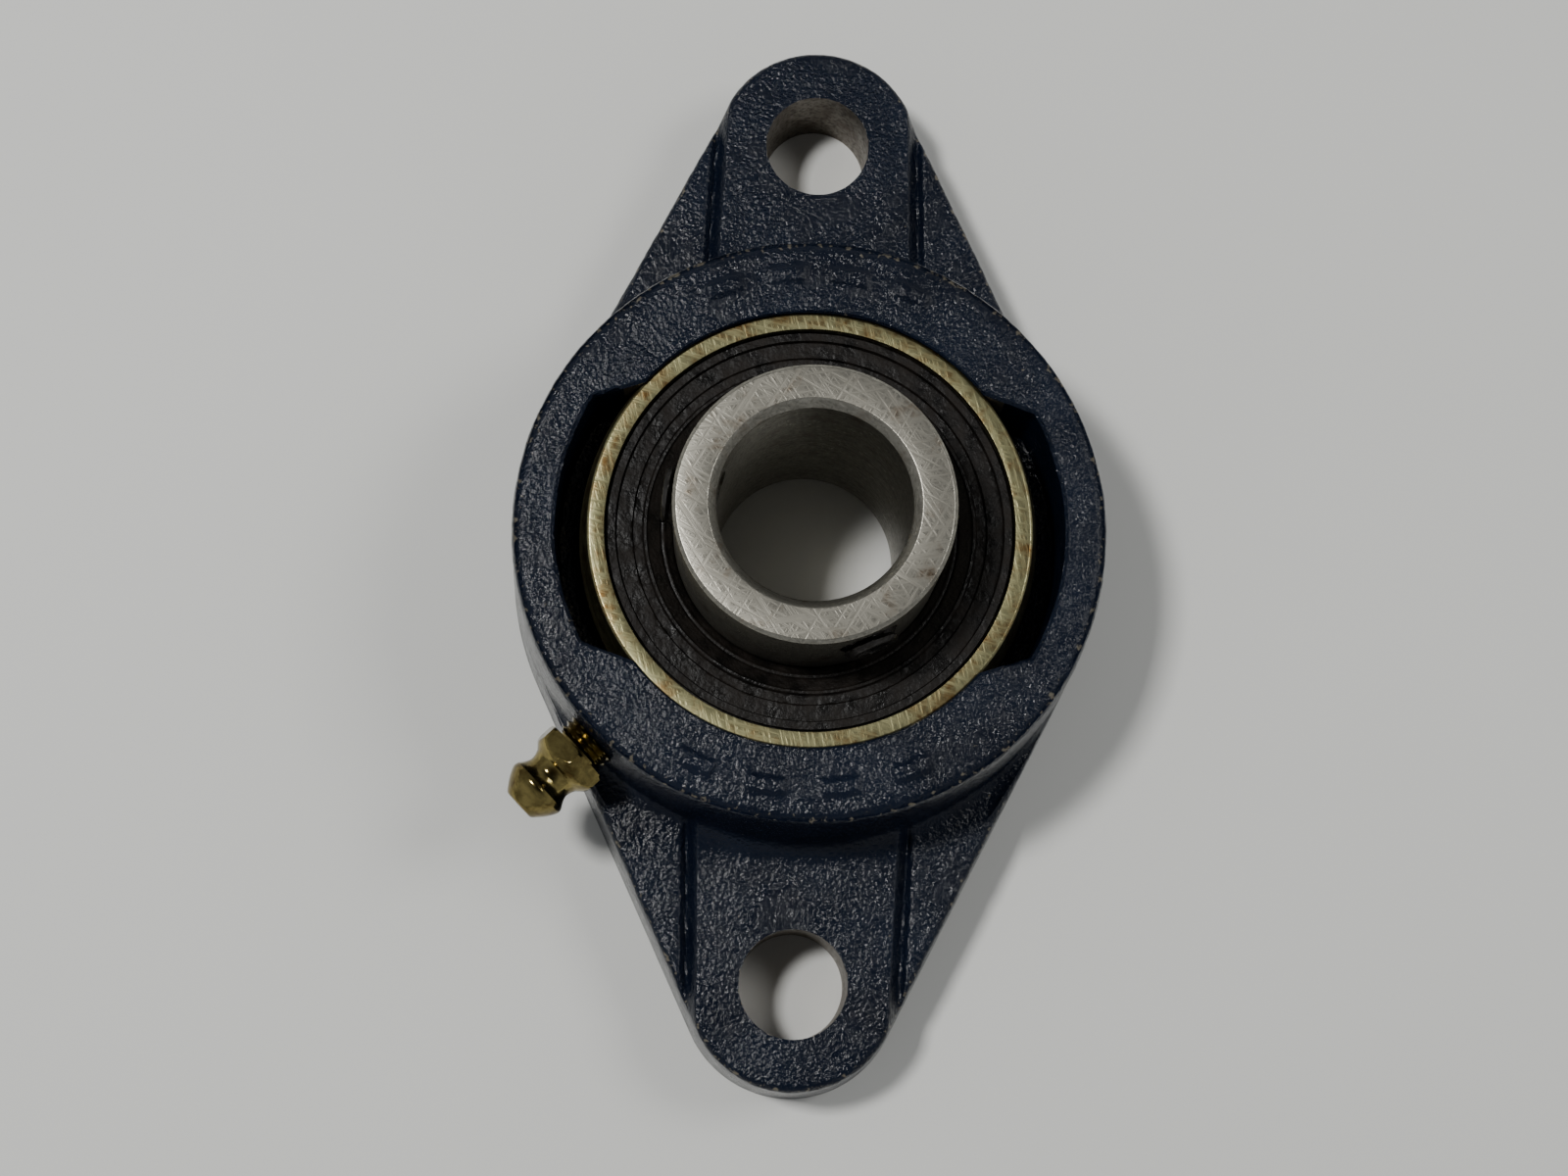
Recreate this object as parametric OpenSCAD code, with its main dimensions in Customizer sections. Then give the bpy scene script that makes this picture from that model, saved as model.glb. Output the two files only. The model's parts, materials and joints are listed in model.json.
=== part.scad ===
// Two-bolt flange mount bearing: a cast housing with a spherical seat, which
// holds a sealed, greased ball bearing insert that can align itself to its shaft.
// Millimetres. +Z runs along the shaft, away from the mounting face at z = 0.
// The bolt holes lie on the Y axis, and the loading slots on the X axis.

/* [Housing] */
// Distance between the two bolt holes
bolt_spacing = 90; // [86:0.5:100]
// Diameter of the bolt holes
bolt_hole_d = 11.1; // [8:0.1:12]
// Radius of the rounded flange ends at the mounting face
lug_r = 11.5; // [11:0.1:13]
// Thickness of the flange at the bolt pads
pad_h = 10.5; // [9.9:0.1:12]
// Thickness of the flange beside the bolt pads
wing_h = 9.6; // [8:0.1:9.7]
// Radius of the hub at the mounting face
hub_r = 31.3; // [31:0.1:33]
// Height of the hub's front face
hub_h = 23.2; // [22.6:0.1:24]
// Width of the two slots that the insert is loaded through
slot_w = 23.6; // [20:0.1:25]
// Radius of the loading slots' outer wall
slot_r = 25.6; // [24.2:0.1:26]

/* [Bearing insert] */
// Height of the insert's centre above the mounting face
centre_h = 15.1; // [14.8:0.1:15.6]
// Diameter of the shaft
shaft_d = 19.05; // [17:0.05:19.1]
// Diameter of the outer ring's spherical outside
sphere_d = 47; // [46.9:0.05:47]
// Width of the outer ring
outer_w = 14; // [13.8:0.1:14.2]
// Outside diameter of the inner ring
inner_d = 27.6; // [27.4:0.1:27.8]
// Length of the inner ring from the centre to its screwed end
inner_up = 18.3; // [17.8:0.1:19]
// Length of the inner ring from the centre to its plain end
inner_down = 12.7; // [12:0.1:13.5]
// Diameter of the balls
ball_d = 7.938; // [7.9:0.001:7.95]

/* [Set screws and grease nipple] */
// Thread diameter of the set screws
screw_d = 6; // [5:0.5:6]
// Length of the set screws
screw_len = 5; // [4.6:0.1:5.4]
// Direction of the first set screw about the shaft
screw_angle = 295; // [240:5:330]
// Direction of the grease nipple about the shaft
nipple_angle = 225; // [222:1:230]
// Height of the grease nipple above the mounting face
nipple_h = 16; // [15:0.1:17]

/* [Hidden] */

// Housing: casting
half_spacing = bolt_spacing / 2;
draft = 3.3;                        // slope of the cast walls, in degrees
draft_slope = tan(draft);
edge_break = 0.6;                   // softened edges of the casting
wing_inset = 0.12;                  // the wings' walls stand this far inside the pads' walls
hub_round = 1.2;                    // rounding at the rim of the hub
foot_fillet = 2.2;                  // fillet where the hub meets the flange
fillet_bed = 3;                     // how deep the fillet's ring is sunk in the casting
fillet_margin = 0.8;                // it stops this far inside the flange ends' width
bore_r = 21.8;                      // open back of the housing
bore_top = 7;                       // the open back meets the seat below this height
back_chamfer = 0.8;
slot_floor = 12;                    // how deep the loading slots reach

// Housing: seat and grease way
seat_gap = 0.04;                    // running fit of the ring in its seat
seat_r = sphere_d / 2 + seat_gap;
groove_w = 5;
groove_depth = 0.8;
groove_h = 17.3;                    // middle of the seat's grease groove
duct_r = 1.2;
nipple_thread_r = 3;
nipple_hole_start = 25.8;           // bottom of the tapped hole, from the shaft's axis

// Rings
ball_count = 8;
ball_r = ball_d / 2;
pitch_r = 16.6;                     // circle that the balls' centres run on
race_r = 0.52 * ball_d;             // curve of the raceways across the groove
race_gap = 0.03;                    // internal clearance at each raceway
half_w = outer_w / 2;
face_r = sqrt(pow(sphere_d / 2, 2) - pow(half_w, 2));    // outer edge of the ring's face
land_r = 19.2;                      // bore of the outer ring beside its raceway
seal_bore_r = 20.7;                 // recess in the ring's face that holds the seal
seal_groove_r = 21;
seal_shelf = 5;                     // height of the shelf that the seal rests on
seal_groove_top = 5.9;
ring_chamfer = 0.2;
feed_h = 4;                         // grease holes through the outer ring
feed_r = 0.6;
feed_count = 3;
feed_angle = 45;                    // the first hole's direction about the shaft
shaft_r = shaft_d / 2;
inner_r = inner_d / 2;
bore_chamfer = 0.85;
inner_chamfer = 0.35;

// Cage
sheet = 0.6;                        // thickness of the pressed cage
pocket_gap = 0.13;
cage_in_r = 15;
cage_out_r = 18.2;
rivet_r = 0.7;
rivet_head_r = 1.15;
rivet_head_h = 0.4;

// Seals
plate_t = 0.5;
plate_in_r = 16.3;
plate_out_r = 20.3;
lip_gap = 0.05;
lip_r = inner_r + lip_gap;
bead_r = seal_groove_r - 0.05;
bead_top = 5.75;
// Stepped front of the rubber from bead to lip, each as [radius, height above the centre]
seal_steps = [
    [20.5, 5.85], [20.4, 6.5], [19.65, 6.5], [19.5, 6.05], [17.95, 6.05], [17.8, 5.8],
    [16.95, 5.8], [16.75, 6.1], [16.5, 6.1], [16.4, 5.85], [15.15, 5.3], [15, 5],
    [14.75, 5.05], [14.5, 4.85]
];
lip_top = 4.6;                      // the wiping lip lies between these two heights
lip_bottom = 4.15;
lip_bevel = 0.15;
lip_back = [14.7, 4.5];             // where the lip's back leaves it, towards the washer

// Set screws
screw_r = screw_d / 2;
screw_gap = 0.05;
screw_from_end = 4.8;
screw_h = inner_up - screw_from_end;
screw_tip = shaft_r + 0.28;         // the screws are backed out, clear of the bore
screw_apart = 120;
hex_key = 3;                        // across the flats
hex_depth = 2.4;
cup_r = 1.1;                        // hollow in the screw's point, and its rim
cup_rim_r = 1.6;
cup_depth = 0.5;
point_len = 0.8;
screw_bevel = 0.4;

// Grease nipple, measured out from the shaft's axis
nipple_foot = 26;
nipple_thread_depth = 0.45;
ring_step = 0.4;                    // from crest to root of the rings that stand for the thread
nipple_hex_in = 32.1;
nipple_hex_out = 34.9;
nipple_hex_af = 7;
hex_bevel_in = 0.5;                 // turned bevels at both ends of the hexagon
hex_bevel_out = 1.3;
hex_top_r = 3.05;
nipple_neck = 35.9;
nipple_neck_r = 2.55;
nipple_wide = 37.5;
nipple_head_r = 3.28;
nipple_tip = 40;
nipple_tip_r = 1.95;
head_edge = 0.3;                    // bevels along the head, and at its tip
tip_edge = 0.2;
nipple_bore_r = 1.3;
nipple_mouth_r = 0.8;
nipple_ball_r = 1.18;
nipple_ball_at = 38.75;
spring_wire_r = 0.17;
spring_coil_r = 0.8;
spring_start = 29.6;
spring_gap = 0.01;                  // from the last coil to the ball
spring_end = nipple_ball_at
    - sqrt(pow(nipple_ball_r + spring_wire_r + spring_gap, 2) - pow(spring_coil_r, 2));
spring_turns = 8;
nipple_shelf_r = 0.75;

// ---------------------------------------------------------------- helpers

module at_centre() {
    translate([0, 0, centre_h]) children();
}

// Lays something built along +Z along a level line away from the shaft
module along_radius(angle, height) {
    translate([0, 0, height]) rotate([0, 90, angle]) children();
}

// A tube that is turned about Z, as an outline: from r1 to r2, from z1 to z2
module band(r1, r2, z1, z2) {
    translate([r1, z1]) square([r2 - r1, z2 - z1]);
}

// ---------------------------------------------------------------- housing

// Cone with the casting's draft, its top edge broken
module drafted_post(r, h) {
    top = h - edge_break;
    top_r = r - top * draft_slope;
    cylinder(h = top, r1 = r, r2 = top_r, $fn = 64);
    translate([0, 0, top])
        cylinder(h = edge_break, r1 = top_r, r2 = top_r - edge_break, $fn = 64);
}

// Rhombic flange: it runs straight from the hub to each rounded end
module flange_body() {
    hull() {
        drafted_post(hub_r - wing_inset, wing_h);
        for (s = [-1, 1])
            translate([0, s * half_spacing, 0]) drafted_post(lug_r - wing_inset, wing_h);
    }
}

// Raised pad that carries a bolt hole, from the flange's end to the hub
module bolt_pads() {
    hull()
        for (s = [-1, 1])
            translate([0, s * half_spacing, 0]) drafted_post(lug_r, pad_h);
}

// Hub with its draft, rounded rim and the fillet at its foot, turned about Z
module hub_body() {
    top = hub_h - hub_round;
    rim_r = hub_r - hub_h * draft_slope;
    foot_r = hub_r - pad_h * draft_slope;
    rotate_extrude($fn = 128) {
        polygon([
            [0, 0], [hub_r, 0], [foot_r, pad_h], [rim_r, top],
            [rim_r - hub_round, hub_h], [0, hub_h]
        ]);
        translate([rim_r - hub_round, top]) circle(r = hub_round, $fn = 48);
    }
}

module foot_ring() {
    foot_r = hub_r - pad_h * draft_slope;
    rotate_extrude($fn = 128) difference() {
        band(foot_r - fillet_bed, foot_r + foot_fillet, wing_h - fillet_bed, pad_h + foot_fillet);
        translate([foot_r + foot_fillet, pad_h + foot_fillet]) circle(r = foot_fillet, $fn = 48);
    }
}

// Hollow of the hub: spherical seat, open back, loading slots and grease groove
module hub_hollow() {
    at_centre() sphere(r = seat_r, $fn = 128);
    translate([0, 0, -1]) cylinder(h = bore_top + 1, r = bore_r, $fn = 128);
    translate([0, 0, -0.01])
        cylinder(h = back_chamfer, r1 = bore_r + back_chamfer, r2 = bore_r, $fn = 128);
    intersection() {
        translate([0, 0, slot_floor]) cylinder(h = hub_h, r = slot_r, $fn = 128);
        translate([-hub_r, -slot_w / 2, slot_floor]) cube([2 * hub_r, slot_w, hub_h]);
    }
    rotate_extrude($fn = 128)
        band(land_r, seat_r + groove_depth, groove_h - groove_w / 2, groove_h + groove_w / 2);
}

module housing() {
    color("midnightblue") difference() {
        union() {
            flange_body();
            bolt_pads();
            hub_body();
            intersection() {
                foot_ring();
                translate([0, 0, hub_h / 2])
                    cube([2 * (lug_r - fillet_margin), bolt_spacing, hub_h], center = true);
            }
        }
        hub_hollow();
        for (s = [-1, 1])
            translate([0, s * half_spacing, -1])
                cylinder(h = pad_h + 2, d = bolt_hole_d, $fn = 64);
        along_radius(nipple_angle, nipple_h) {
            cylinder(h = nipple_hex_in, r = duct_r, $fn = 32);
            translate([0, 0, nipple_hole_start])
                cylinder(h = nipple_hex_in - nipple_hole_start, r = nipple_thread_r, $fn = 48);
        }
    }
}

// ---------------------------------------------------------------- grease nipple

// Turned head, neck and threaded shank; the thread is shown as rings
module nipple_body() {
    thread_root = nipple_thread_r - nipple_thread_depth;
    corner_r = nipple_hex_af / 2 / cos(30);
    color("goldenrod") along_radius(nipple_angle, nipple_h) difference() {
        union() {
            intersection() {
                translate([0, 0, nipple_hex_in])
                    cylinder(h = nipple_hex_out - nipple_hex_in, r = corner_r, $fn = 6);
                rotate_extrude($fn = 64) polygon([
                    [0, nipple_hex_in], [nipple_hex_af / 2, nipple_hex_in],
                    [corner_r, nipple_hex_in + hex_bevel_in],
                    [corner_r, nipple_hex_out - hex_bevel_out],
                    [hex_top_r, nipple_hex_out], [0, nipple_hex_out]
                ]);
            }
            rotate_extrude($fn = 64) polygon([
                [0, nipple_foot], [thread_root, nipple_foot],
                [nipple_thread_r, nipple_foot + nipple_thread_depth],
                [nipple_thread_r, nipple_hex_in - 4 * ring_step],
                [thread_root, nipple_hex_in - 3 * ring_step],
                [nipple_thread_r, nipple_hex_in - 2 * ring_step],
                [thread_root, nipple_hex_in - ring_step], [thread_root, nipple_hex_in + ring_step],
                [hex_top_r, nipple_hex_out], [nipple_neck_r, nipple_neck],
                [nipple_head_r, nipple_wide - head_edge], [nipple_head_r, nipple_wide + head_edge],
                [nipple_tip_r, nipple_tip - tip_edge], [nipple_tip_r - tip_edge, nipple_tip],
                [0, nipple_tip]
            ]);
        }
        translate([0, 0, nipple_foot - 1])
            cylinder(h = spring_start - nipple_foot + 1, r = nipple_shelf_r, $fn = 32);
        translate([0, 0, spring_start - spring_wire_r])
            cylinder(h = nipple_ball_at - spring_start + spring_wire_r, r = nipple_bore_r, $fn = 32);
        translate([0, 0, nipple_ball_at])
            cylinder(h = nipple_tip - nipple_ball_at, r1 = nipple_bore_r, r2 = nipple_mouth_r, $fn = 32);
    }
}

module nipple_ball() {
    color("silver") along_radius(nipple_angle, nipple_h)
        translate([0, 0, nipple_ball_at]) sphere(r = nipple_ball_r, $fn = 48);
}

// Check spring: a round wire carried along a helix
module nipple_spring() {
    steps = 16;
    sides = 8;
    rise = spring_end - spring_start;
    last = spring_turns * steps;
    wire = [
        for (i = [0:last], k = [0:sides - 1])
            let (a = 360 * i / steps, b = -360 * k / sides, r = spring_coil_r + spring_wire_r * cos(b))
                [r * cos(a), r * sin(a), spring_start + rise * i / last + spring_wire_r * sin(b)]
    ];
    skin = [
        for (i = [0:last - 1], k = [0:sides - 1])
            let (n = (k + 1) % sides) [i * sides + k, i * sides + n, (i + 1) * sides + n, (i + 1) * sides + k]
    ];
    start_cap = [for (k = [0:sides - 1]) sides - 1 - k];
    end_cap = [for (k = [0:sides - 1]) last * sides + k];
    color("gray") along_radius(nipple_angle, nipple_h)
        polyhedron(points = wire, faces = concat([start_cap], skin, [end_cap]));
}

// ---------------------------------------------------------------- bearing rings

module outer_ring() {
    groove_centre = pitch_r + ball_r + race_gap - race_r;
    color("darkkhaki") at_centre() difference() {
        rotate_extrude($fn = 128) difference() {
            intersection() {
                circle(d = sphere_d, $fn = 128);
                band(land_r, sphere_d, -half_w, half_w);
            }
            translate([groove_centre, 0]) circle(r = race_r, $fn = 64);
            for (side = [0, 1]) mirror([0, side]) {
                translate([face_r, half_w]) rotate(45) square(ring_chamfer * sqrt(2), center = true);
                band(land_r - 1, seal_bore_r, seal_shelf, half_w + 1);
                band(land_r - 1, seal_groove_r, seal_shelf, seal_groove_top);
            }
        }
        for (i = [0:feed_count - 1])
            along_radius(feed_angle + i * 360 / feed_count, feed_h)
                translate([0, 0, land_r - 1]) cylinder(h = sphere_d / 2 - land_r + 1, r = feed_r, $fn = 24);
    }
}

module inner_ring() {
    groove_centre = pitch_r - ball_r - race_gap + race_r;
    color("lightgray") at_centre() difference() {
        rotate_extrude($fn = 128) difference() {
            polygon([
                [shaft_r, -inner_down + bore_chamfer], [shaft_r + bore_chamfer, -inner_down],
                [inner_r - inner_chamfer, -inner_down], [inner_r, -inner_down + inner_chamfer],
                [inner_r, inner_up - inner_chamfer], [inner_r - inner_chamfer, inner_up],
                [shaft_r + bore_chamfer, inner_up], [shaft_r, inner_up - bore_chamfer]
            ]);
            translate([groove_centre, 0]) circle(r = race_r, $fn = 64);
        }
        for (i = [0, 1])
            along_radius(screw_angle - i * screw_apart, screw_h)
                cylinder(h = inner_r + 1, r = screw_r, $fn = 48);
    }
}

module bearing_ball(i) {
    color("gainsboro") at_centre() rotate([0, 0, (i - 1) * 360 / ball_count])
        translate([pitch_r, 0, 0]) sphere(r = ball_r, $fn = 64);
}

// ---------------------------------------------------------------- cage

// One pressed half: a flat ring with a domed pocket over each ball
module cage_half() {
    pocket_r = ball_r + pocket_gap;
    color("darkgray") difference() {
        intersection() {
            rotate_extrude($fn = 128) band(cage_in_r, cage_out_r, 0, pocket_r + sheet);
            union() {
                cylinder(h = sheet, r = cage_out_r + 1, $fn = 96);
                for (i = [0:ball_count - 1])
                    rotate([0, 0, i * 360 / ball_count]) translate([pitch_r, 0, 0])
                        sphere(r = pocket_r + sheet, $fn = 64);
            }
        }
        for (i = [0:ball_count - 1]) rotate([0, 0, i * 360 / ball_count]) {
            translate([pitch_r, 0, 0]) sphere(r = pocket_r, $fn = 64);
            rotate([0, 0, 180 / ball_count]) translate([pitch_r, 0, -sheet])
                cylinder(h = 3 * sheet, r = rivet_r, $fn = 24);
        }
    }
}

module cage_front() {
    at_centre() cage_half();
}

module cage_rear() {
    at_centre() mirror([0, 0, 1]) cage_half();
}

module cage_rivets() {
    color("dimgray") at_centre()
        for (i = [0:ball_count - 1])
            rotate([0, 0, (i + 0.5) * 360 / ball_count]) translate([pitch_r, 0, 0]) {
                translate([0, 0, -sheet]) cylinder(h = 2 * sheet, r = rivet_r, $fn = 24);
                for (s = [0, 1]) mirror([0, 0, s]) translate([0, 0, sheet])
                    cylinder(h = rivet_head_h, r1 = rivet_head_r, r2 = rivet_r, $fn = 24);
            }
}

// ---------------------------------------------------------------- seals

// Pressed steel washer that stiffens the seal
module seal_plate() {
    color("slategray") rotate_extrude($fn = 128)
        band(plate_in_r, plate_out_r, seal_shelf + 0.1, seal_shelf + 0.1 + plate_t);
}

// Rubber moulded over the washer: an outer bead that snaps into the ring's groove,
// stepped ridges across its face, and an inner lip that wipes the inner ring
module seal_rubber() {
    back = seal_shelf + 0.1;
    mid = back + plate_t;
    bead = [[plate_out_r, back], [bead_r, back], [bead_r, bead_top]];
    lip = [
        [lip_r + lip_bevel, lip_top], [lip_r, lip_top - lip_bevel], [lip_r, lip_bottom], lip_back,
        [plate_in_r - 0.1, seal_shelf], [plate_in_r, back], [plate_in_r, mid], [plate_out_r, mid]
    ];
    color([0.13, 0.11, 0.1]) rotate_extrude($fn = 128) polygon(concat(bead, seal_steps, lip));
}

module front_seal_plate() {
    at_centre() seal_plate();
}

module front_seal_rubber() {
    at_centre() seal_rubber();
}

module rear_seal_plate() {
    at_centre() mirror([0, 0, 1]) seal_plate();
}

module rear_seal_rubber() {
    at_centre() mirror([0, 0, 1]) seal_rubber();
}

// ---------------------------------------------------------------- set screws

// Headless screw with a hex socket, and a cup point towards the shaft
module set_screw(i) {
    r = screw_r - screw_gap;
    color([0.18, 0.18, 0.19]) at_centre()
        along_radius(screw_angle - i * screw_apart, screw_h) translate([0, 0, screw_tip]) difference() {
            rotate_extrude($fn = 48) polygon([
                [0, cup_depth], [cup_r, 0], [cup_rim_r, 0], [r, point_len],
                [r, screw_len - screw_bevel], [r - screw_bevel, screw_len], [0, screw_len]
            ]);
            translate([0, 0, screw_len - hex_depth])
                cylinder(h = hex_depth + 1, r = hex_key / 2 / cos(30), $fn = 6);
        }
}

housing();
nipple_body();
nipple_ball();
nipple_spring();
outer_ring();
inner_ring();
bearing_ball(1);  // ball_1
bearing_ball(2);  // ball_2
bearing_ball(3);  // ball_3
bearing_ball(4);  // ball_4
bearing_ball(5);  // ball_5
bearing_ball(6);  // ball_6
bearing_ball(7);  // ball_7
bearing_ball(8);  // ball_8
cage_front();
cage_rear();
cage_rivets();
front_seal_plate();
front_seal_rubber();
rear_seal_plate();
rear_seal_rubber();
set_screw(0);  // set_screw_1
set_screw(1);  // set_screw_2
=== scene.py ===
import json

import bpy
import numpy as np
from mathutils import Matrix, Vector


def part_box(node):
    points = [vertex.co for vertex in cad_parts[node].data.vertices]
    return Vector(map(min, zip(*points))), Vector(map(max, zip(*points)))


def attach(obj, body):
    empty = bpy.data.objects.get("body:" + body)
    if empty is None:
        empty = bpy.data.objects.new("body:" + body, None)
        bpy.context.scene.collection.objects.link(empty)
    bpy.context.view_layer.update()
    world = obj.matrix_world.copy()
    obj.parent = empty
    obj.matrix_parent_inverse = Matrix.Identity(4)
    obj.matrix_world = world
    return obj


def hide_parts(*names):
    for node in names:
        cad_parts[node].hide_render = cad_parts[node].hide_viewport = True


# A two-bolt flange mount bearing lies on its mounting face. The casting comes first, then
# the grease nipple in its side, the bearing insert in its seat, and last the table, the
# lamps and the camera. Lengths are in millimetres until a mesh is made. +Z runs along the
# shaft, and the bolt holes lie on Y.
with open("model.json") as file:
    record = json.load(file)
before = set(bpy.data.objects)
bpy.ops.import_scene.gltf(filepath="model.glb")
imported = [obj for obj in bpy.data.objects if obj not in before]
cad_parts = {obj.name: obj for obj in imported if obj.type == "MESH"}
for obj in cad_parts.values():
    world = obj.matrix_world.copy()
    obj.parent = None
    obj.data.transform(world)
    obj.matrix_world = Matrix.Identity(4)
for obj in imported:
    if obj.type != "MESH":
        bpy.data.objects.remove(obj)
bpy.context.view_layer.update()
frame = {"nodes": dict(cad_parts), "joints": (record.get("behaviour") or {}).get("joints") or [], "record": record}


# ------------------------------------------------------------------ casting
# The housing is one sand casting in grey iron, with a hub, two lugs and a pad round
# each bolt hole. It is dipped in navy enamel, and then the seat, the back and the
# bolt holes are machined, so those show bare iron.

MM = 0.001
mounts = {mount["name"]: mount for mount in frame["record"]["mounts"]}
joints = {joint["name"]: joint for joint in frame["joints"]}


def box_mm(node):
    """A node's lowest and highest corner, in millimetres."""
    low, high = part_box(node)
    return np.array(low) / MM, np.array(high) / MM


casting_top = box_mm("housing")[1]
HOLE_R = mounts["bolt_holes"]["dims"]["hole_r_mm"]
HOLE_Y = mounts["bolt_holes"]["dims"]["spacing_y_mm"] / 2
HUB_R = casting_top[0]
HUB_H = casting_top[2]
LUG_R = casting_top[1] - HOLE_Y
PAD_H = 10.5
PAD_SHARE = 0.95
PAD_TAPER = 0.5
WING_H = 9.6
GROOVE_DEPTH = 0.75
GROOVE_PLACE = 0.45
GROOVE_WIDTH = 0.38
SLOPE = np.tan(np.radians(3.3))
RIM_ROUND = 1.3
EDGE_ROUND = 0.8
WING_FILLET = 1.1
PAD_EXTRA_FILLET = 1.2
SEAT_Z = joints["insert_tilt"]["pos_m"][2] / MM
SEAT_R = box_mm("outer_ring")[1][0] + 0.04
SEAT_EDGE = 0.35
BACK_R = 21.8
BACK_CHAMFER = 0.8
SLOT_R = 25.6
SLOT_FLOOR = 12.0
SLOT_SIDE = 19.1
SLOT_FLARE = np.radians(71)
TAPPED_R = 3.0
DUCT_R = 1.2


def smooth(x, start, end):
    """0 before start, 1 after end, and 3t² - 2t³ between them."""
    t = np.clip((x - start) / (end - start), 0, 1)
    return t * t * (3 - 2 * t)


def lumps(points, cell, seed):
    """Smooth noise from -1 to 1: random numbers sit on the corners of a cubic lattice of
    that cell, and a point blends the eight round it, each weighted by 3t² - 2t³."""
    count = 32
    origin = 500.37
    table = np.random.RandomState(seed).uniform(-1, 1, (count, count, count))
    place = np.asarray(points) / cell + origin
    corner = np.floor(place).astype(int)
    t = place - corner
    t = t * t * (3 - 2 * t)
    total = 0
    for step in np.ndindex(2, 2, 2):
        weight = np.prod(np.where(step, t, 1 - t), axis=-1)
        i, j, k = np.moveaxis((corner + step) % count, -1, 0)
        total = total + weight * table[i, j, k]
    return total


def grid_normals(points):
    """Unit normals of a closed grid: the cross product of the two differences between
    the neighbours on either side."""
    along = np.roll(points, -1, 0) - np.roll(points, 1, 0)
    across = np.roll(points, -1, 1) - np.roll(points, 1, 1)
    normal = np.cross(along, across)
    return normal / np.maximum(np.linalg.norm(normal, axis=-1, keepdims=True), 1e-9)


def skin(name, points, **attributes):
    """A closed mesh from a grid of points that wraps round in both directions: quad (i, j)
    joins columns i, i + 1 and rows j, j + 1. It is turned so that its volume is positive."""
    columns, rows = points.shape[:2]
    index = np.arange(columns * rows).reshape(columns, rows)
    next_column = np.roll(index, -1, 0)
    quads = np.stack([index, next_column, np.roll(next_column, -1, 1), np.roll(index, -1, 1)], -1)
    quads = quads.reshape(-1, 4)
    flat = points.reshape(-1, 3)
    a, b, c, d = (flat[quads[:, k]] for k in range(4))
    volume = np.einsum("ij,ij->i", a, np.cross(b, c) + np.cross(c, d)).sum()
    if volume < 0:
        quads = quads[:, ::-1]
    mesh = bpy.data.meshes.new(name)
    mesh.from_pydata((flat * MM).tolist(), [], quads.tolist())
    for key, values in attributes.items():
        layer = mesh.attributes.new(key, "FLOAT", "POINT")
        layer.data.foreach_set("value", np.asarray(values, np.float32).ravel())
    piece = bpy.data.objects.new(name, mesh)
    bpy.context.scene.collection.objects.link(piece)
    return piece


def crease(piece, degrees):
    """Shades a mesh smoothly, except across edges that turn by more than this."""
    mesh = piece.data
    mesh.polygons.foreach_set("use_smooth", np.ones(len(mesh.polygons), bool))
    mesh.set_sharp_from_angle(angle=np.radians(degrees))


def rod(radius, start, end, sides=96):
    """A straight cutter with flat ends: a circle of that radius round the line between the
    two points, repeated at both."""
    start = np.asarray(start, float)
    axis = np.asarray(end, float) - start
    length = np.linalg.norm(axis)
    axis = axis / length
    side = np.cross(axis, [0, 0, 1] if abs(axis[2]) < 0.9 else [1, 0, 0])
    side = side / np.linalg.norm(side)
    angle = np.linspace(0, 2 * np.pi, sides, endpoint=False)
    ring = radius * (np.outer(np.cos(angle), side) + np.outer(np.sin(angle), np.cross(axis, side)))
    points = np.concatenate([start + ring, start + ring + axis * length])
    index = np.arange(sides)
    after = (index + 1) % sides
    walls = np.stack([index, after, after + sides, index + sides], -1).tolist()
    ends = [index[::-1].tolist(), (index + sides).tolist()]
    mesh = bpy.data.meshes.new("cutter")
    mesh.from_pydata((points * MM).tolist(), [], walls + ends)
    cutter = bpy.data.objects.new("cutter", mesh)
    bpy.context.scene.collection.objects.link(cutter)
    return cutter


def cut(piece, cutters):
    """Drills the cutters' shapes out of a piece, exactly, and removes the cutters."""
    for cutter in cutters:
        drill = piece.modifiers.new("drill", "BOOLEAN")
        drill.operation = "DIFFERENCE"
        drill.solver = "EXACT"
        drill.object = cutter
    drilled = piece.evaluated_get(bpy.context.evaluated_depsgraph_get())
    plain = piece.data
    piece.data = bpy.data.meshes.new_from_object(drilled)
    piece.data.name = piece.name
    piece.modifiers.clear()
    bpy.data.meshes.remove(plain)
    for cutter in cutters:
        bpy.data.meshes.remove(cutter.data)


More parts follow.
